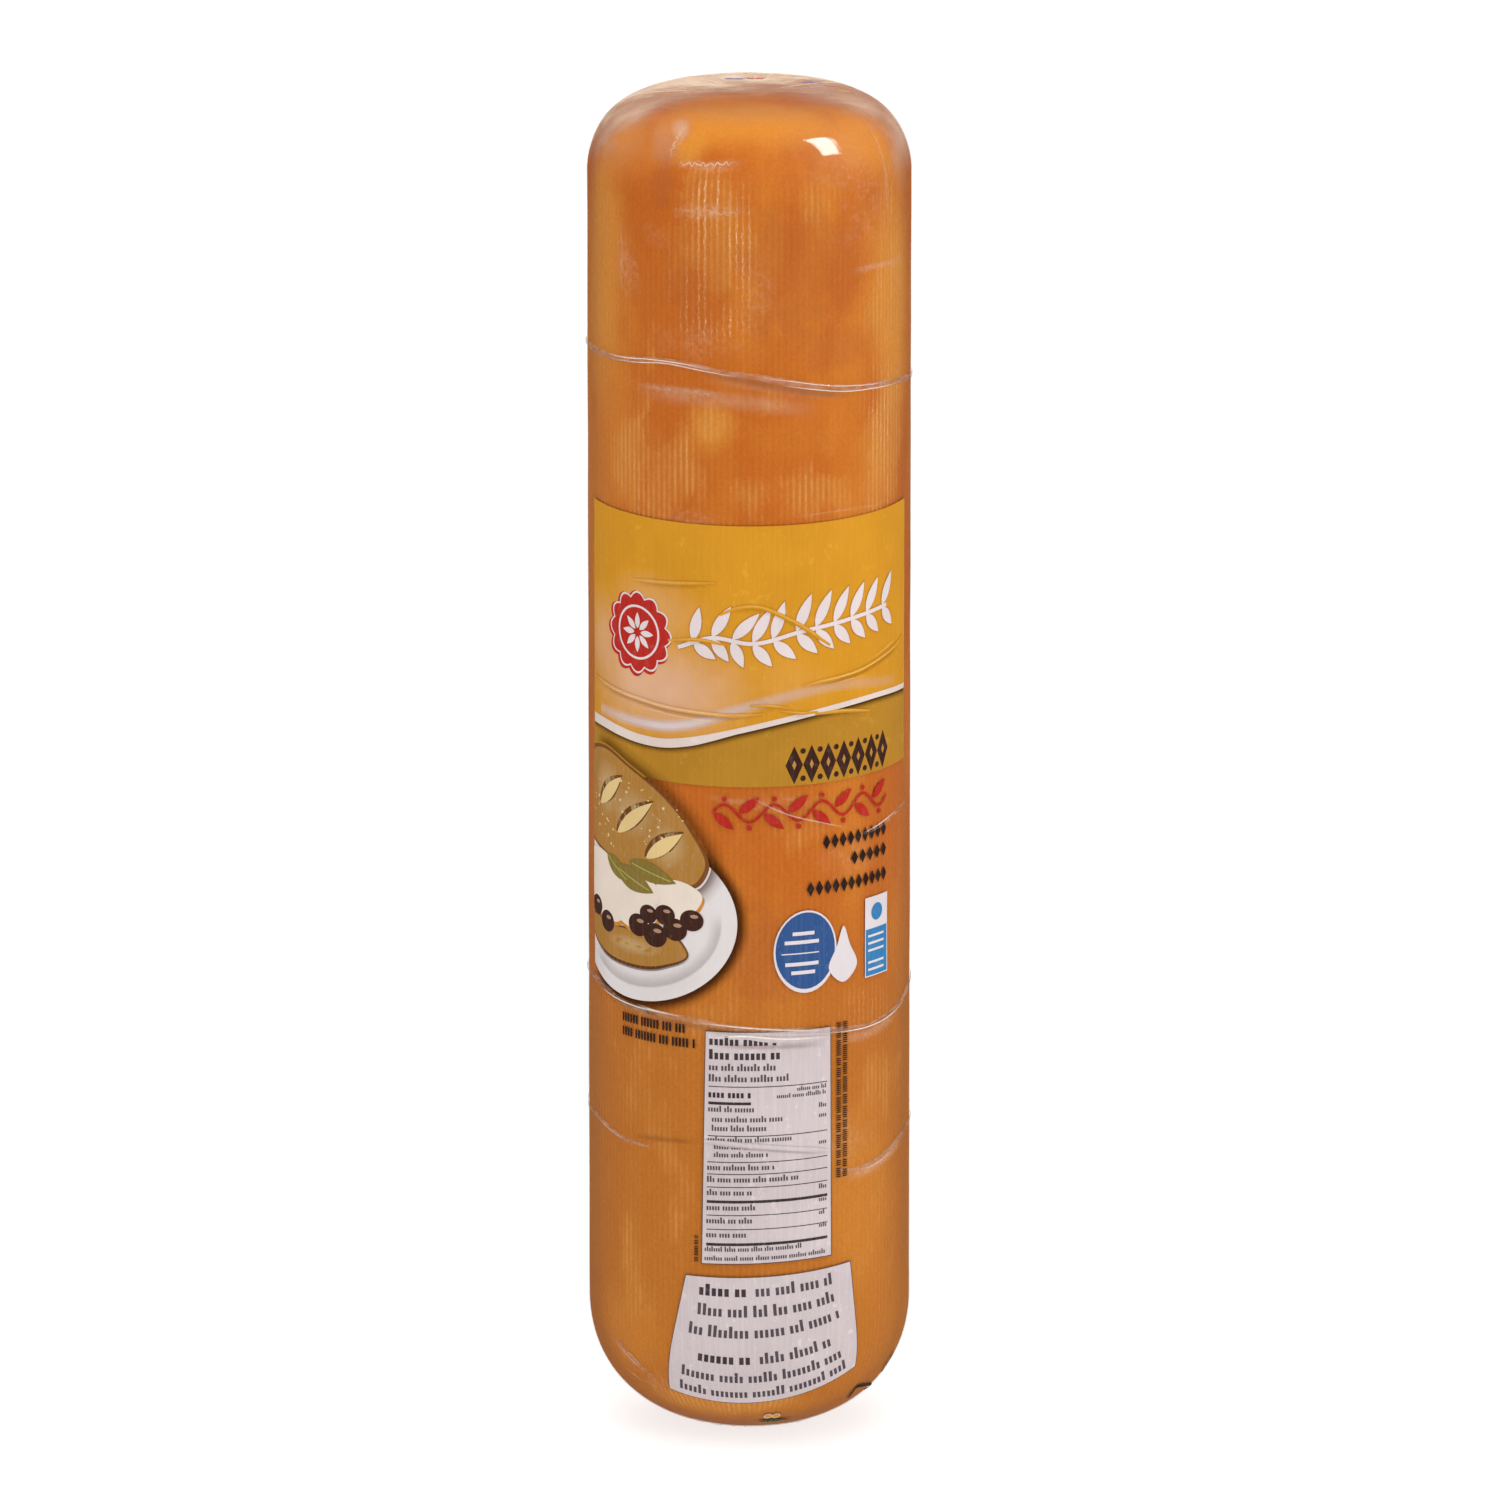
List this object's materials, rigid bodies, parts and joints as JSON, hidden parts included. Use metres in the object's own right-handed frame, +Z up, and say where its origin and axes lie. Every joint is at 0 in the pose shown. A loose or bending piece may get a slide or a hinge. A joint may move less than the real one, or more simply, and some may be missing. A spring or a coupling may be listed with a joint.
{
  "type": "smoked provolone log in printed shrink film",
  "caption": "Whole smoked provolone log with rounded ends and a finely ribbed rind, sealed in tight clear film with a printed label, standing upright on its base.",
  "frame": {"origin": "middle of the small settled flat spot at the bottom end, on the log's axis", "axes": "+Z up along the log, -Y out of the middle of the printed front, +X to the right of the printed front as it is looked at"},
  "size_m": [0.0958, 0.0965, 0.4],
  "materials": {
    "smoked_rind": null,
    "shrink_film": "thin clear glossy shrink film with drawn ridges and a pale haze at the ends",
    "film_print": "glossy flat inks under the film's surface: golden yellow, olive gold, lilac white, red, blue and dark brown"
  },
  "bodies": {
    "root": {"sealed_provolone": "smoked_rind"}
  },
  "joints": []
}
